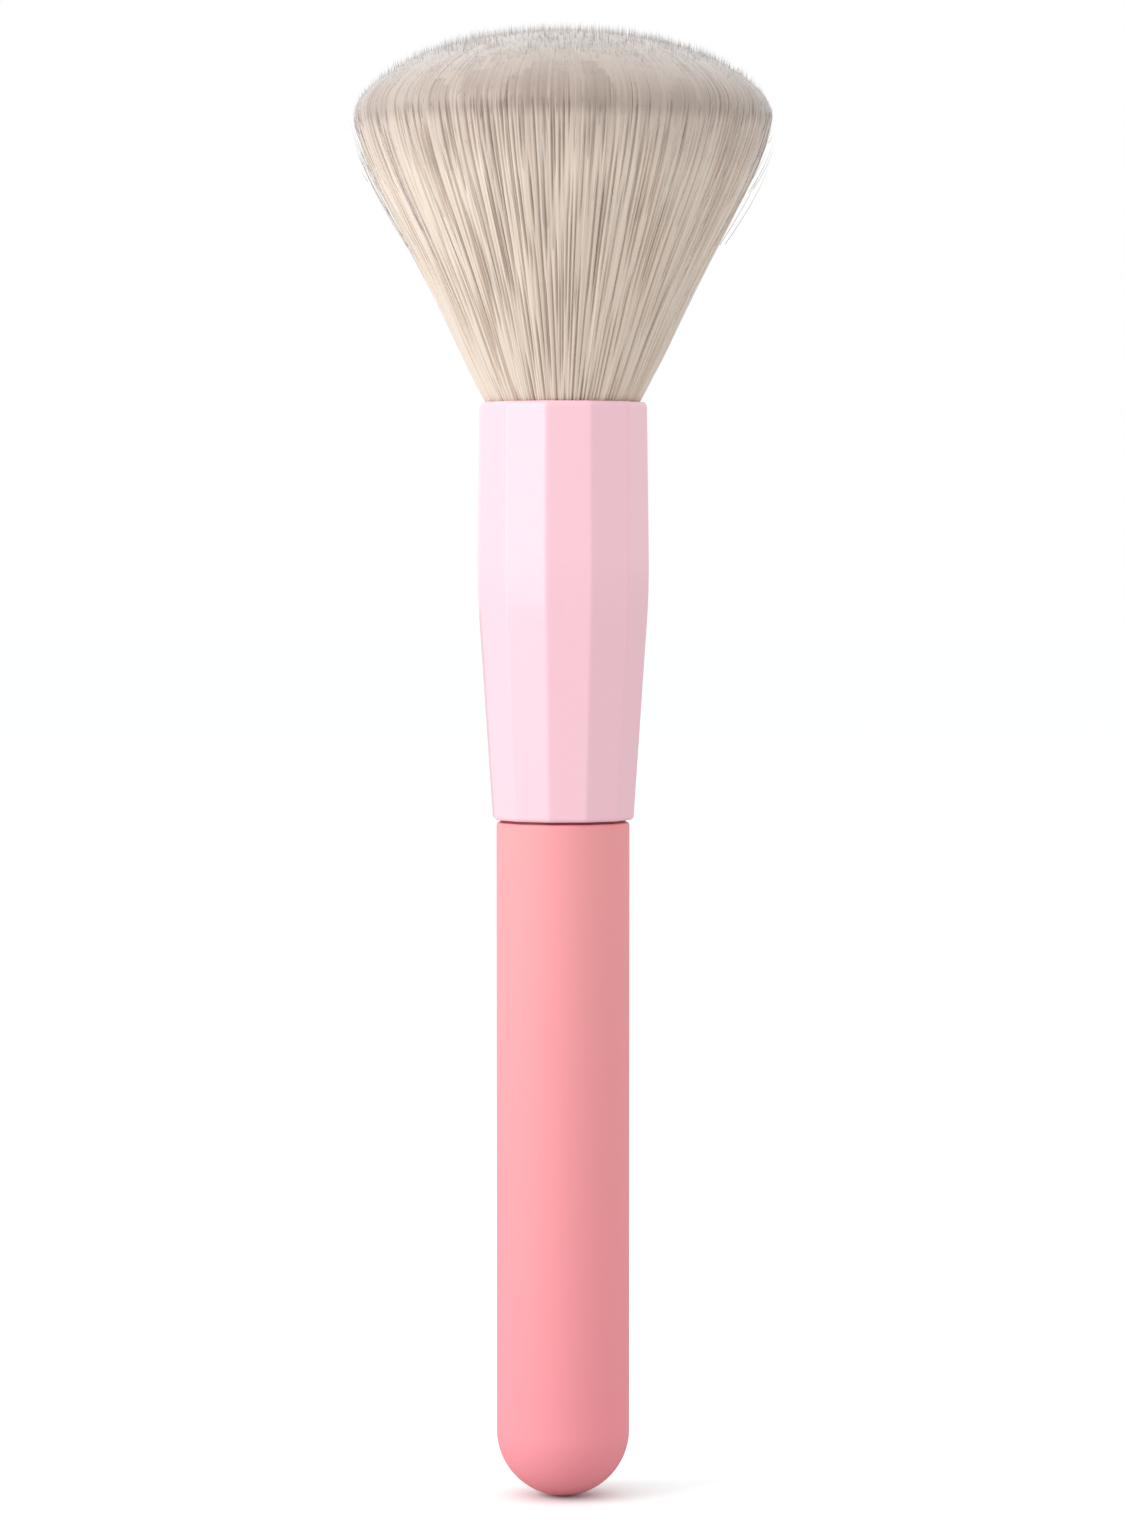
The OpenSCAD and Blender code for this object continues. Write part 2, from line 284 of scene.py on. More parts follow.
turn_angles = np.linspace(0, 2 * math.pi, turn_steps, endpoint=False)
handle_outline = (
    arc((0, handle_radius), (handle_radius, handle_radius), -90, 0, end_steps)
    + arc(
        (handle_radius - shoulder_round, handle_top - shoulder_round),
        (shoulder_round, shoulder_round), 0, 90, edge_steps,
    )
    + [(handle_bore + shoulder_round, handle_top), (handle_bore, handle_top - shoulder_round)]
    + arc((0, handle_radius), (handle_bore, handle_bore), 0, -90, end_steps)
)
handle = piece_from_rings(
    "handle",
    [[(0, 0, height)] if radius < axis_radius else circle_ring(radius, height, turn_angles)
     for radius, height in handle_outline],
    closed=False,
)
even_shine(handle)
place_piece(handle, handle_lacquer, "handle_soft_touch", "handle_shell")

# Connector, weight and glue in the handle
# A dark red moulded plug is glued into the handle and the sleeve, and its thin collar shows as
# the seam between them. Below it a turned steel slug stands in a bed of cast glue.


def finish_nodes(material, *names):
    """Gives CAD nodes whose shape is right their finish."""
    for name in names:
        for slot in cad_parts[name].material_slots:
            slot.material = material


connector_plastic = skinned_material(
    "dark_red_moulded_plastic",
    {
        "Color": rgb(150, 62, 76),
        "Cloud Color": rgb(120, 44, 58),
        "Cloud Scale": 120.0,
        "Cloud Amount": 0.5,
        "Grain Scale": 2500.0,
        "Grain Depth": 0.02 * MM,
        "Roughness": 0.5,
        "Roughness Spread": 0.12,
    },
    {"Specular IOR Level": 0.4},
)
slug_steel = skinned_material(
    "turned_steel",
    {
        "Color": rgb(150, 153, 158),
        "Cloud Color": rgb(112, 114, 118),
        "Cloud Scale": 220.0,
        "Cloud Amount": 0.6,
        "Grain Scale": 5000.0,
        "Grain Depth": 0.01 * MM,
        "Roughness": 0.38,
        "Roughness Spread": 0.2,
    },
    {"Metallic": 1.0},
)
cured_glue = skinned_material(
    "cured_glue",
    {
        "Color": rgb(226, 213, 176),
        "Cloud Color": rgb(196, 172, 120),
        "Cloud Scale": 300.0,
        "Cloud Amount": 0.6,
        "Grain Scale": 1800.0,
        "Grain Depth": 0.03 * MM,
        "Roughness": 0.3,
        "Roughness Spread": 0.15,
    },
    {"Specular IOR Level": 0.5, "Coat Weight": 0.3},
)
finish_nodes(connector_plastic, "connector")
finish_nodes(slug_steel, "handle_weight")
finish_nodes(cured_glue, "weight_bond", "handle_bond", "sleeve_bond")

# Sleeve
# One long moulding with twelve flats, lacquered in a pearly light pink. It tapers down to the
# handle below a soft bend, its edges are slightly rounded, and its thin lip holds the hair.
flat_count = 12
flat_turn = math.radians(19)
corner_round = 1.1 * MM
corner_steps = 4
flat_steps = 5
foot_flat_radius = 8.27 * MM
foot_round = 0.5 * MM
bend_height = 27.5 * MM
bend_flat_radius = 10.05 * MM
bend_blend = 4 * MM
bend_steps = 8
lip_flat_radius = 9.79 * MM
lip_round = (0.38 * MM, 0.8 * MM)
mouth_radius = 9.37 * MM
mouth_depth = 1.7 * MM
mouth_edge = (0.05 * MM, 0.1 * MM)
lip_drop = 0.02 * MM
can_bore_radius = 8.95 * MM
can_length = 20.3 * MM
can_seat_radius = 7.7 * MM
spigot_bore_radius = 7.0 * MM
spigot_bore_length = 14 * MM
taper_rings = 7

sleeve_low, sleeve_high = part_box("sleeve")
foot_height = sleeve_low.z
lip_height = sleeve_high.z
can_mouth_height = lip_height - mouth_depth
sector = 2 * math.pi / flat_count


def faceted_ring(flat_radius, height):
    """One ring of the sleeve: a polygon over its flats, with rounded corners."""
    corner_centre = (flat_radius - corner_round) / math.cos(sector / 2)
    points = []
    for k in range(flat_count):
        corner = flat_turn + k * sector
        centre = np.array([math.cos(corner), math.sin(corner)]) * corner_centre
        turned = corner + np.linspace(-sector / 2, sector / 2, corner_steps + 1)
        points.extend(centre + corner_round * np.array([math.cos(a), math.sin(a)]) for a in turned)
        next_corner = corner + sector
        after = np.array([math.cos(next_corner), math.sin(next_corner)]) * corner_centre
        facing = corner + sector / 2
        edge = corner_round * np.array([math.cos(facing), math.sin(facing)])
        points.extend(
            centre + edge + (after - centre) * step / flat_steps for step in range(1, flat_steps)
        )
    return np.column_stack([np.array(points), np.full(len(points), height)])


def lerp(a, b, share):
    """The value that lies this share of the way from a to b."""
    return a + (b - a) * share


def outside_outline():
    """The sleeve's outside, as (radius over the flats, height), from the foot to the lip."""
    foot_end = np.array([foot_flat_radius, foot_height + foot_round])
    bend = np.array([bend_flat_radius, foot_height + bend_height])
    barrel_end = np.array([lip_flat_radius, lip_height - lip_round[1]])
    below = lerp(bend, foot_end, bend_blend / (bend[1] - foot_end[1]))
    above = lerp(bend, barrel_end, bend_blend / (barrel_end[1] - bend[1]))
    shares = np.linspace(0, 1, bend_steps + 1)
    blended = [lerp(lerp(below, bend, s), lerp(bend, above, s), s) for s in shares]
    taper = [lerp(foot_end, below, s) for s in np.linspace(0, 1, taper_rings)[1:-1]]
    barrel = [lerp(above, barrel_end, s) for s in np.linspace(0, 1, taper_rings)[1:-1]]
    foot_arc = arc(
        (foot_flat_radius - foot_round, foot_height + foot_round), (foot_round, foot_round),
        -90, 0, edge_steps,
    )
    lip_arc = arc(
        (lip_flat_radius - lip_round[0], lip_height - lip_round[1]), lip_round, 0, 90, edge_steps,
    )
    return foot_arc + taper + blended + barrel + lip_arc


outside = [faceted_ring(radius, height) for radius, height in outside_outline()]
ring_angles = np.arctan2(outside[0][:, 1], outside[0][:, 0])
can_seat_height = can_mouth_height - can_length
inside_outline = [
    (mouth_radius + mouth_edge[0], lip_height - lip_drop),
    (mouth_radius, lip_height - mouth_edge[1]),
    (mouth_radius, can_mouth_height), (can_bore_radius, can_mouth_height),
    (can_bore_radius, can_seat_height), (can_seat_radius, can_seat_height),
    (spigot_bore_radius, foot_height + spigot_bore_length), (spigot_bore_radius, foot_height),
]
inside = [circle_ring(radius, height, ring_angles) for radius, height in inside_outline]
sleeve = piece_from_rings("sleeve_pearl", outside + inside, closed=True)
even_shine(sleeve)

pearl_lacquer = skinned_material(
    "pearl_pink_lacquer",
    {
        "Color": rgb(253, 203, 215),
        "Cloud Color": rgb(255, 214, 227),
        "Cloud Scale": 900.0,
        "Cloud Amount": 0.35,
        "Grain Scale": 6000.0,
        "Grain Depth": 0.003 * MM,
        "Roughness": 0.3,
        "Roughness Spread": 0.1,
    },
    {
        "Specular IOR Level": 0.3, "Coat Weight": 0.3, "Coat Roughness": 0.08, "Coat IOR": 1.5,
    },
)
place_piece(sleeve, pearl_lacquer, "sleeve_pearl", "sleeve")

# Ferrule can and what holds the roots
# A thin drawn aluminium can inside the sleeve, crimped and glued there, with the roots of the
# hair tied by a thread band and cast in pale amber resin.
drawn_aluminium = skinned_material(
    "drawn_aluminium",
    {
        "Color": rgb(206, 208, 212),
        "Cloud Color": rgb(176, 179, 184),
        "Cloud Scale": 180.0,
        "Cloud Amount": 0.4,
        "Grain Scale": 4000.0,
        "Grain Depth": 0.01 * MM,
        "Roughness": 0.32,
        "Roughness Spread": 0.2,
    },
    {"Metallic": 1.0},
)
cotton_thread = skinned_material(
    "cotton_thread",
    {
        "Color": rgb(238, 233, 220),
        "Cloud Color": rgb(214, 206, 188),
        "Cloud Scale": 700.0,
        "Cloud Amount": 0.6,
        "Grain Scale": 2600.0,
        "Grain Depth": 0.08 * MM,
        "Roughness": 0.85,
        "Roughness Spread": 0.1,
    },
    {"Specular IOR Level": 0.2, "Sheen Weight": 0.3},
)
finish_nodes(drawn_aluminium, "ferrule_can")
finish_nodes(cured_glue, "can_bond", "root_resin")
finish_nodes(cotton_thread, "tuft_binding")

# Tuft
# Some tens of thousands of soft tapered synthetic fibres, cream at the root and greyer at their
# fine tips, tied and cast as one bundle that flares out of the sleeve into a dome. Packed close,
# they are one mass parted by thin slits, and those that show singly are pointed prisms over it.
tuft_radius = 24.85 * MM
root_radius = 8.3 * MM
lip_spread = 0.6 * MM
lip_spread_power = 12
dome_rise = 13.6 * MM
dome_power = 2.2
flare_belly = 0.8
flare_power = 4
fibre_radius = 0.085 * MM
tip_power = 1.25
golden_turn = math.pi * (3 - math.sqrt(5))
# Locks, and the smaller wisps in them, are places on the unit disc that fibres are drawn to
lock_count = 420
wisp_count = 3600
centre_jitter = 2.0
root_jitter = 2.5
lock_pulls = (0.02, 0.22)
lock_lean_size = 0.008
lock_swell_size = 0.002
wisp_pull = 0.35
# The map that the hair's finish is read from
map_name = "OFBake"
map_margin = 0.002
tone_count = 16
strip_margin = 0.05

apex_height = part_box("bristle_tuft")[1].z
ring_height = apex_height - dome_rise
chance = np.random.default_rng(20)


def spiral(count, inner, outer, jitter):
    """Points spread evenly over a ring of the unit disc, along a spiral with a little chance."""
    order = np.arange(count)
    share = np.sqrt(inner**2 + (outer**2 - inner**2) * (order + 0.5) / count)
    turn = order * golden_turn + chance.normal(0, jitter / math.sqrt(count), count)
    return np.column_stack([share * np.cos(turn), share * np.sin(turn)])


def flare(s):
    """The tuft's radius at the shares s of its fibres' length. It spreads at once as it leaves
    the sleeve's mouth."""
    spread = lip_spread * (1 - (1 - s) ** lip_spread_power)
    return lerp(root_radius, tuft_radius, s + flare_belly * s**flare_power * (1 - s)) + spread


def tip_height(share):
    """The height at which fibres rooted at these shares of the bundle's radius end."""
    return ring_height + dome_rise * (1 - np.minimum(share, 1)**dome_power) ** (1 / dome_power)


def nearest(points, centres):
    """For each point, the number of the centre that lies nearest."""
    found = np.empty(len(points), int)
    at_once = 1000
    for start in range(0, len(points), at_once):
        block = points[start:start + at_once]
        gaps = ((block[:, None, :] - centres[None]) ** 2).sum(2)
        found[start:start + at_once] = gaps.argmin(1)
    return found


def tone_column(lock, shade):
    """A place across the fibre map, where each lock tone has a strip that runs from its pale
    fibres to its dark ones. The dark end also carries the painted shade of the mass's slits
    and dome."""
    place = strip_margin + (1 - 2 * strip_margin) * np.clip(shade, 0, 1)
    return (lock_tone[lock] + place) / tone_count


def add_map(mesh, u, v):
    """Maps a mesh for the hair's finish, from the places across and along of its corners."""
    layer = mesh.uv_layers.new(name=map_name)
    layer.uv.foreach_set("vector", np.stack([u, v], axis=-1).ravel().astype(np.float32))


def map_row(place):
    """The row of the fibre map for a place along a fibre, a little clear of the map's edges."""
    return map_margin + (1 - 2 * map_margin) * place


lock_centres = spiral(lock_count, 0, 1, centre_jitter)
lock_pull = chance.uniform(*lock_pulls, lock_count)
lock_lean = chance.normal(0, lock_lean_size, (lock_count, 2))
lock_swell = chance.normal(0, lock_swell_size, lock_count)
lock_tone = chance.integers(0, tone_count, lock_count)
wisp_centres = spiral(wisp_count, 0, 1, centre_jitter)

# Fibres gather into wisps and locks in the middle of their length, and lean, scatter and wave
# further up. A power says how late along the fibre, or how near the tuft's skin, each sets in.
gather_bulge = 0.85
gather_rise = 0.15
lean_power = 1.5
tip_scatter = 0.012
scatter_power = 2
wave_size = 0.004
wave_turns = (2, 7)
skin_power = 8
least_share = 0.01
splay_power = 3
sunk_depth = 0.4 * MM
sunk_power = 4
root_girth_share = 0.6
root_girth_reach = 0.5
greying_power = 3


def fibre_lines(roots, lock, s, lift, splay):
    """Points along each fibre, as (fibre, step, 3), at the shares s of the fibre's length. Inner
    fibres drift any way, and the outermost only sideways, so that the tuft's skin stays close.
    Each starts sunk in the mass. Splay is how far a loose fibre's tip stands off."""
    count = len(roots)
    share = np.minimum(np.hypot(roots[:, 0], roots[:, 1]), 1)
    wisp = nearest(roots, wisp_centres)
    gather = gather_bulge * np.sin(math.pi * s) + gather_rise * s
    to_lock = lock_pull[lock][:, None] * (lock_centres[lock] - roots)
    to_wisp = wisp_pull * (wisp_centres[wisp] - roots)
    drift = gather * (to_lock + to_wisp)[:, None] + lock_lean[lock][:, None] * s**lean_power
    drift = drift + chance.normal(0, tip_scatter, (count, 1, 2)) * s**scatter_power
    waves = chance.uniform(0, 2 * math.pi, (count, 1, 2))
    drift = drift + wave_size * s * np.sin(waves + s * chance.uniform(*wave_turns, (count, 1, 1)))
    outward = (roots / np.maximum(share, least_share)[:, None])[:, None]
    held = (share**skin_power)[:, None, None]
    drift = drift - held * (drift * outward).sum(2, keepdims=True) * outward
    disc = (roots[:, None] + drift) * (1 + lock_swell[lock][:, None, None] * gather)
    heights = lerp(can_mouth_height, (tip_height(share) + lift)[:, None, None], s)
    sunk = sunk_depth * (1 - (s - s[:, :1]) / (1 - s[:, :1])) ** sunk_power
    standing = splay[:, None, None] * s**splay_power - sunk
    return np.concatenate([disc * flare(s) + standing * outward, heights], axis=2)


def fibre_piece(name, roots, steps, begins, ends, lift, splay, radius, tip_starts, shade, spread,
                paleness):
    """A mesh of pointed three-sided prisms along the fibres' lines. Spread is how far they are
    turned out of line. In their map the columns are tones and the rows are places along the
    fibre, and pale fibres take the last rows, whose near-white is painted light."""
    lock = nearest(roots, lock_centres)
    steps = np.array(steps)
    s = lerp(begins[:, None, None], ends[:, None, None], steps[None, :, None])
    lines = fibre_lines(roots, lock, s, lift, splay)
    count, levels = lines.shape[:2]
    body = levels - 1
    slim = np.clip((steps[:body] - tip_starts) / (1 - tip_starts), 0, 1) ** tip_power
    root_girth = lerp(root_girth_share, 1, np.clip(s[:, :body, 0] / root_girth_reach, 0, 1))
    girth = radius[:, None] * np.minimum(root_girth, 1 - slim[None])
    facing = np.arctan2(roots[:, 1], roots[:, 0]) + chance.normal(0, spread, count)
    turn = facing[:, None, None] + math.pi + np.arange(3) * 2 * math.pi / 3
    sides = lines[:, :body, None, :].repeat(3, axis=2)
    sides[..., 0] += girth[:, :, None] * np.cos(turn)
    sides[..., 1] += girth[:, :, None] * np.sin(turn)
    points = np.concatenate([sides.reshape(count, body * 3, 3), lines[:, -1:, :]], axis=1)
    last = body * 3

    faces = []
    levels_of = []
    across = []
    for level in range(body - 1):
        for side in range(3):
            a = level * 3 + side
            b = level * 3 + (side + 1) % 3
            faces.append((a, b, b + 3, a + 3))
            levels_of.append((level, level, level + 1, level + 1))
            across.append((0, 1, 1, 0))
    for side in range(3):
        faces.append((last - 3 + side, last - 3 + (side + 1) % 3, last))
        levels_of.append((body - 1, body - 1, body))
        across.append((0, 1, 0.5))
    faces.append((2, 1, 0))
    levels_of.append((0, 0, 1))
    across.append((0, 1, 0.5))

    sizes = np.array([len(face) for face in faces])
    loops = np.concatenate(faces)[None] + np.arange(count)[:, None] * (last + 1)
    starts = np.concatenate([[0], np.cumsum(np.tile(sizes, count))[:-1]])
    mesh = bpy.data.meshes.new(name)
    mesh.vertices.add(count * (last + 1))
    mesh.vertices.foreach_set("co", points.ravel().astype(np.float32))
    mesh.loops.add(loops.size)
    mesh.loops.foreach_set("vertex_index", loops.ravel().astype(np.int32))
    mesh.polygons.add(count * len(faces))
    mesh.polygons.foreach_set("loop_start", starts.astype(np.int32))
    mesh.update(calc_edges=True)

    u = tone_column(lock[:, None], shade[:, None] + map_width * np.concatenate(across)[None])
    greying = lerp(s[..., 0], pale_row, steps**greying_power)
    v = map_row(lerp(greying, lerp(pale_row, 1, steps), paleness)[:, np.concatenate(levels_of)])
    add_map(mesh, u, v)
    mesh.validate()
    return add_object(name, mesh)


# The fibre's finish: tone by column and colour by row of the map, so that it bakes as it looks.
# Rows past dome_row are for the tips on the dome, darker partly as greyer tips and partly as
# painted shade between them, and rows past pale_row for pale loose tips, whose near-white is
# painted light shining through their fine ends.
map_width = 0.03
dome_row = 0.965
pale_row = 0.985
# The dark tone of dark fibres, also the colour of the painted shade in the slits and over the dome
dark_tone_and_painted_shade = rgb(140, 112, 86)
dark_share_at_root = 0.85
dark_share_lost = 0.25
pale_lock = rgb(250, 236, 220)
pale_lock_share = 0.18
# Colours from the root of a fibre to its tip, by row of the map. The dark rows at dome_row and
# pale_row are partly greyer tips and partly painted shade, and the near-white last colour is
# painted light for the pale loose tips.
hair_colours = (
    (0.0, rgb(243, 226, 208)), (0.3, rgb(237, 220, 202)), (0.55, rgb(239, 222, 204)),
    (0.76, rgb(244, 228, 211)), (0.92, rgb(213, 196, 183)), (dome_row, rgb(170, 153, 142)),
    (pale_row, rgb(168, 154, 145)), (1.0, rgb(252, 246, 241)),
)

fibre = bpy.data.materials.new("hair_fibre")
fibre.use_nodes = True
fibre_tree = fibre.node_tree
fibre_map = add_node(fibre_tree, "ShaderNodeUVMap", uv_map=map_name)
map_parts = add_node(
    fibre_tree, "ShaderNodeSeparateXYZ", {"Vector": fibre_map.outputs["UV"]}
).outputs
strips = compute(fibre_tree, "MULTIPLY", map_parts["X"], float(tone_count))
lock_chance = add_node(
    fibre_tree, "ShaderNodeTexWhiteNoise", {"W": compute(fibre_tree, "FLOOR", strips, 0.0)},
    noise_dimensions="1D",
).outputs["Value"]
shade_share = compute(fibre_tree, "FRACT", strips, 0.0)
along = add_node(fibre_tree, "ShaderNodeValToRGB", {"Fac": map_parts["Y"]})
stops = along.color_ramp.elements
for stop, (_, colour) in zip(stops, (hair_colours[0], hair_colours[-1])):
    stop.color = colour
for position, colour in hair_colours[1:-1]:
    stops.new(position).color = colour
dark_share = compute(
    fibre_tree, "MULTIPLY_ADD", map_parts["Y"], -dark_share_lost, dark_share_at_root
)
toned = mix_colours(
    fibre_tree, compute(fibre_tree, "MULTIPLY", shade_share, dark_share), along.outputs["Color"],
    dark_tone_and_painted_shade,
)
toned = mix_colours(
    fibre_tree, compute(fibre_tree, "MULTIPLY", lock_chance, pale_lock_share), toned, pale_lock
)
fibre_shader = fibre_tree.nodes["Principled BSDF"]
fibre_tree.links.new(toned, fibre_shader.inputs["Base Color"])
set_values(
    fibre_shader,
    {"Roughness": 0.42, "Specular IOR Level": 0.5, "Sheen Weight": 1.0, "Sheen Roughness": 0.5},
)

# The mass follows the dome a little below the tips. Its strands are parted by thin slits that
# open and close along them, sunk into it and darkened with painted shade, and more of them open
# further up, where the tuft is wider.
mass_share = 0.978
mass_columns = 2160
mass_levels = 30
mass_cap_rings = 14
mass_inset = 1.2 * MM
ring_inset = 0.1 * MM
ring_inset_power = 8
rim_smoothing_passes = 5
swell_depth = 0.03 * MM
lock_depth = 0.015 * MM
strand_depth = 0.025 * MM
# Neighbours on each side that a column's swell, lock and strand are averaged with
ripple_columns = (14, 6, 2)
slit_depth = 0.45 * MM
slit_half_width = 0.21 * MM
slit_least_width = 0.5
slit_fall_power = 1.3
# Each set of slits: how far past those of the first set they lie, as a share of the gap between
# two of those, and the shares of the length between which they open
slit_count = 126
slit_sets = ((0, -0.1, -0.1), (0.5, 0.0, 0.45), (0.25, 0.3, 0.7))
slit_shift = 0.12
slit_ends = (0.93, 1.06)
slit_lean_most = 0.02
slit_strengths = (0.6, 1)
slit_rates = (5, 14)
slit_open_level = 0.7
slit_opening = 0.1
slit_closing = 0.08
# Over the dome, slits fade out between the ring and this share of the tuft's radius
slit_top_share = 0.9
# Painted shade in the slits: shares of the length, and how dark the painted shade is at each
painted_slit_shade = ((0, 0.85, 1), (0.4, 0.82, 0.35))
strand_columns = (1, 6)
strand_shade_share = 0.3
# Over the dome's cap the strands' own tone gives way to an even painted shade between the tips
dome_blend = 8
painted_dome_shade = 0.3
dome_row_rate = 0.1


def smoothed(width):
    """Chance values round the tuft, each averaged with its neighbours, with unit spread."""
    values = chance.normal(0, 1, mass_columns)
    turned = sum(np.roll(values, shift) for shift in range(-width, width + 1))
    return turned / turned.std()


ripples = [(smoothed(width), smoothed(width)) for width in ripple_columns]
mass_angles = np.linspace(0, 2 * math.pi, mass_columns, endpoint=False)
slit_total = slit_count * len(slit_sets)
slit_turn = 2 * math.pi / slit_count * (
    np.concatenate([np.arange(slit_count) + place for place, _, _ in slit_sets])
    + chance.uniform(-slit_shift, slit_shift, slit_total)
)
slit_start = np.concatenate([chance.uniform(low, high, slit_count) for _, low, high in slit_sets])
slit_end = chance.uniform(*slit_ends, slit_total)
slit_lean = chance.uniform(-slit_lean_most, slit_lean_most, slit_total)
slit_strength = chance.uniform(*slit_strengths, slit_total)
slit_phase = chance.uniform(0, 2 * math.pi, slit_total)
slit_rate = chance.uniform(*slit_rates, slit_total)


def wandering(s):
    """Swell, locks and strands round the mass, at a share of its fibres' length."""
    turn = s * math.pi / 2
    return [low * math.cos(turn) + high * math.sin(turn) for low, high in ripples]


def slits(share, s):
    """How deep the mass falls into its slits at each column, from 0 to 1."""
    openness = slit_strength * np.clip((s - slit_start) / slit_opening, 0, 1)
    openness = openness * np.clip((slit_end - s) / slit_closing, 0, 1)
    openness = openness * np.clip(np.cos(slit_phase + slit_rate * s) + slit_open_level, 0, 1)
    openness = openness * np.clip((share - slit_top_share) / (mass_share - slit_top_share), 0, 1)
    turned = mass_angles[:, None] - slit_turn - slit_lean * s
    away = np.abs((turned + math.pi) % (2 * math.pi) - math.pi) * share * flare(s)
    half_width = slit_half_width * lerp(slit_least_width, 1, openness)
    fall = np.clip(1 - away / half_width, 0, 1)
    return (openness * fall**slit_fall_power).max(axis=1)


def mass_ring(radius, height, s, fall):
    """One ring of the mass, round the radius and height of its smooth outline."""
    swell, locks, strands = wandering(s)
    offset = swell_depth * swell + lock_depth * locks + strand_depth * strands
    return circle_ring(radius + offset - slit_depth * fall, height, mass_angles)


def below_tips(share):
    """How far along its fibres the mass reaches, at a share of the tuft's radius. It comes
    closest to the tips at the ring, so that no step shows there."""
    inset = lerp(mass_inset, ring_inset, (share / mass_share) ** ring_inset_power)
    return 1 - inset / (tip_height(share) - can_mouth_height)


mass_steps = [(mass_share, s) for s in np.linspace(0, below_tips(mass_share), mass_levels)]
for turn in np.linspace(0, math.pi / 2, mass_cap_rings + 1)[1:-1]:
    share = mass_share * math.cos(turn) ** (2 / dome_power)
    mass_steps.append((share, below_tips(share)))
mass_outline = np.array(
    [(share * flare(s), lerp(can_mouth_height, tip_height(share), s)) for share, s in mass_steps]
)
for _ in range(rim_smoothing_passes):
    mass_outline[1:-1] = (mass_outline[:-2] + 2 * mass_outline[1:-1] + mass_outline[2:]) / 4
slit_falls = [slits(share, s) for share, s in mass_steps]
mass_rings = [
    mass_ring(radius, height, s, fall)
    for (radius, height), (_, s), fall in zip(mass_outline, mass_steps, slit_falls)
]
mass_tip = apex_height - mass_inset
mass = piece_from_rings(
    "hair_mass", [[(0, 0, can_mouth_height)]] + mass_rings + [[(0, 0, mass_tip)]], closed=False
)
face_turns = np.column_stack([np.cos(mass_angles), np.sin(mass_angles)])
face_shares = [mass_share] + [share for share, _ in mass_steps]
mass_lock = np.concatenate([nearest(face_turns * share, lock_centres) for share in face_shares])
strand_widths = chance.integers(*strand_columns, mass_columns)
strand_of = np.repeat(np.arange(mass_columns), strand_widths)[:mass_columns]
strand_shade = strand_shade_share * chance.uniform(0, 1, mass_columns)[strand_of] ** 2
# Each ring's tone: the strands' own chance tone, painted shade over the dome's cap, and painted
# shade in the slits
ring_tones_and_painted_shade = [
    lerp(painted_dome_shade, strand_shade, (share / mass_share) ** dome_blend)
    + np.interp(s, *painted_slit_shade) * fall
    for (share, s), fall in zip(mass_steps, slit_falls)
]
point_tone_and_painted_shade = np.concatenate([[0], *ring_tones_and_painted_shade, [0]])
point_s = np.concatenate(
    [[0], np.repeat([s for _, s in mass_steps], mass_columns), [below_tips(0)]]
)

# The mass has a map like the fibres', with a column for lock and shade and a row for the place
# along them.
mass_mesh = mass.data
corner_count = np.zeros(len(mass_mesh.polygons), int)
mass_mesh.polygons.foreach_get("loop_total", corner_count)
corner_across = np.concatenate(
    [(0.5, 1, 0)] * mass_columns + [(0, 1, 1, 0)] * (len(corner_count) - 2 * mass_columns)
    + [(0, 1, 0.5)] * mass_columns
)
corner_point = np.zeros(len(mass_mesh.loops), int)
mass_mesh.loops.foreach_get("vertex_index", corner_point)
corner_lock = np.repeat(mass_lock, corner_count)
mass_u = tone_column(corner_lock, point_tone_and_painted_shade[corner_point] + map_width * corner_across)
point_place = np.where(point_s < dome_row, point_s, lerp(dome_row, point_s, dome_row_rate))
add_map(mass_mesh, mass_u, map_row(point_place[corner_point]))
place_piece(mass, fibre, "hair_fibre", "bristle_tuft")

# How the fibres of a layer differ
tip_lift = 0.15 * MM
stray_most = 2.2
girth_range = (0.75, 1.15)
layer_shade_share = 0.4


def add_layer(name, count, shares, begins, ends, steps, ragged, stray, radius, tip_starts, spread,
              paleness=0):
    """One layer of the tuft, between two shares of its radius. Its fibres come out of the mass
    and end between the shares of the way to the dome that begins and ends give. Ragged is how
    far their tips differ, and stray how far they stand off. Each fibre has points at the steps of
    its length, and thins to its tip from tip_starts on."""
    roots = spiral(count, *shares, root_jitter)
    begin = chance.uniform(*begins, count)
    end = chance.uniform(*ends, count)
    lift = tip_lift - chance.exponential(ragged, count)
    splay = np.minimum(chance.exponential(stray, count), stray_most * stray)
    girth = radius * chance.uniform(*girth_range, count)
    shade = layer_shade_share * chance.uniform(0, 1, count) ** 2
    piece = fibre_piece(
        name, roots, steps, begin, end, lift, splay, girth, tip_starts, shade, spread, paleness
    )
    place_piece(piece, fibre, "hair_fibre", "bristle_tuft")


long_steps = (0, 0.22, 0.45, 0.66, 0.82, 0.93, 1)
add_layer(
    "hair_tips", count=19000, shares=(0, 0.976), begins=(0.84, 0.9), ends=(0.97, 1),
    steps=(0, 0.6, 1), ragged=0.4 * MM, stray=0, radius=fibre_radius * 0.9, tip_starts=0.4,
    spread=math.radians(30),
)
add_layer(
    "hair_outer_layer", count=200, shares=(0.972, 0.98), begins=(0, 0.7), ends=(0.9, 1),
    steps=long_steps, ragged=0.5 * MM, stray=0, radius=fibre_radius * 0.7, tip_starts=0.72,
    spread=math.radians(10),
)
# The loose fibres' pale tips are painted near-white, as painted light shining through them
add_layer(
    "hair_loose_fibres", count=160, shares=(0.978, 0.995), begins=(0.5, 0.92), ends=(0.85, 1),
    steps=long_steps, ragged=0.5 * MM, stray=0.25 * MM, radius=fibre_radius * 0.45,
    tip_starts=0.4, spread=math.radians(10), paleness=1,
)

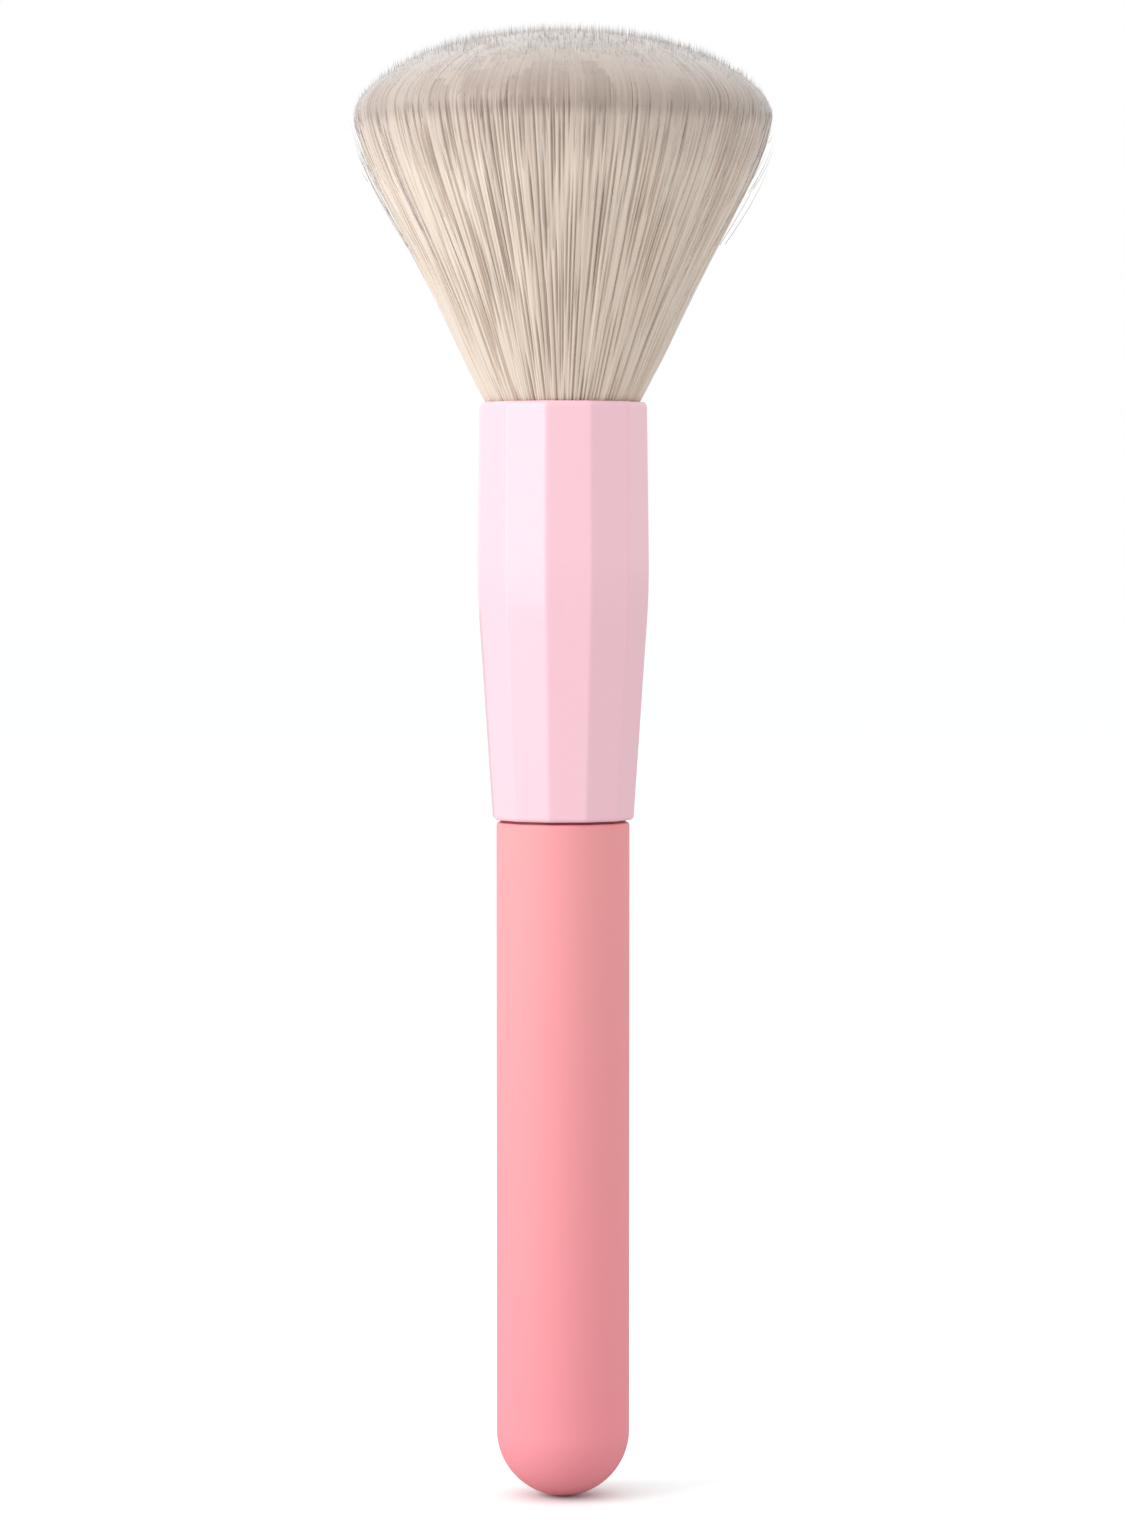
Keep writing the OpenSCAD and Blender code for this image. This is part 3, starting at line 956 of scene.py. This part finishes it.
# Floor and light
# A white floor and background that keep the contact shadow, one large soft lamp at the left
# and a weak one at the right, with even light from all round.
floor_half = 6.0
floor_drop = 0.05 * MM
# The brush gets the floor's own light back, and the camera sees it lifted to white. The contact
# shade deepens the shadow there round the foot.
floor_level_for_brush = 0.6
floor_level_lift = 0.62
floor_tint = rgb(246, 255, 254)
contact_reach = 10 * MM
contact_power = 1.3
contact_shade = 0.15

floor_mesh = bpy.data.meshes.new("floor")
floor_mesh.from_pydata(
    [(-floor_half, -floor_half, 0), (floor_half, -floor_half, 0), (floor_half, floor_half, 0),
     (-floor_half, floor_half, 0)],
    [], [(0, 1, 2, 3)],
)
floor = add_object("floor", floor_mesh)
floor.location.z = -floor_drop

floor_paint = bpy.data.materials.new("floor_paint")
floor_paint.use_nodes = True
floor_tree = floor_paint.node_tree
floor_tree.nodes.remove(floor_tree.nodes["Principled BSDF"])
seen = add_node(floor_tree, "ShaderNodeLightPath").outputs
floor_level = compute(
    floor_tree, "MULTIPLY_ADD", seen["Is Camera Ray"], floor_level_lift, floor_level_for_brush
)
open_share = compute(
    floor_tree, "POWER",
    add_node(
        floor_tree, "ShaderNodeAmbientOcclusion", {"Distance": contact_reach}, samples=8
    ).outputs["AO"],
    contact_power,
)
hidden_share = compute(floor_tree, "SUBTRACT", 1.0, open_share)
contact_share = compute(floor_tree, "MULTIPLY", seen["Is Camera Ray"], -contact_shade)
contact_level = compute(floor_tree, "MULTIPLY_ADD", hidden_share, contact_share, 1.0)
floor_matte = add_node(
    floor_tree, "ShaderNodeBsdfDiffuse",
    {"Color": mix_colours(
        floor_tree, seen["Is Camera Ray"],
        compute(floor_tree, "MULTIPLY", floor_level, contact_level), floor_tint, "MULTIPLY",
    )},
)
floor_tree.links.new(
    floor_matte.outputs[0], floor_tree.nodes["Material Output"].inputs["Surface"]
)
floor.data.materials.append(floor_paint)

# The world lights the brush a little less than the white that the camera and shine see
ambient_level = 0.88
world = bpy.data.worlds.new("studio")
bpy.context.scene.world = world
world.use_nodes = True
world_tree = world.node_tree
world_seen = add_node(world_tree, "ShaderNodeLightPath").outputs
shown = compute(world_tree, "MAXIMUM", world_seen["Is Camera Ray"], world_seen["Is Glossy Ray"])
shown = compute(world_tree, "MAXIMUM", shown, world_seen["Is Transmission Ray"])
world_tree.links.new(
    compute(world_tree, "MULTIPLY_ADD", shown, 1 - ambient_level, ambient_level),
    world_tree.nodes["Background"].inputs["Strength"],
)
world_tree.nodes["Background"].inputs["Color"].default_value = (1, 1, 1, 1)


def soft_lamp(name, azimuth, distance, height, width, length, watts):
    """A rectangular lamp that faces the brush. Azimuth is from the camera's side, to the right."""
    lamp = add_object(name, bpy.data.lights.new(name, "AREA"))
    lamp.data.shape = "RECTANGLE"
    lamp.data.size = width
    lamp.data.size_y = length
    lamp.data.energy = watts
    angle = math.radians(azimuth)
    lamp.location = (math.sin(angle) * distance, -math.cos(angle) * distance, height)
    face_brush(lamp)


soft_lamp("key_lamp", azimuth=-63, distance=1.0, height=0.35, width=0.75, length=1.0, watts=8.0)
soft_lamp("fill_lamp", azimuth=70, distance=1.0, height=0.3, width=0.6, length=0.8, watts=0.6)
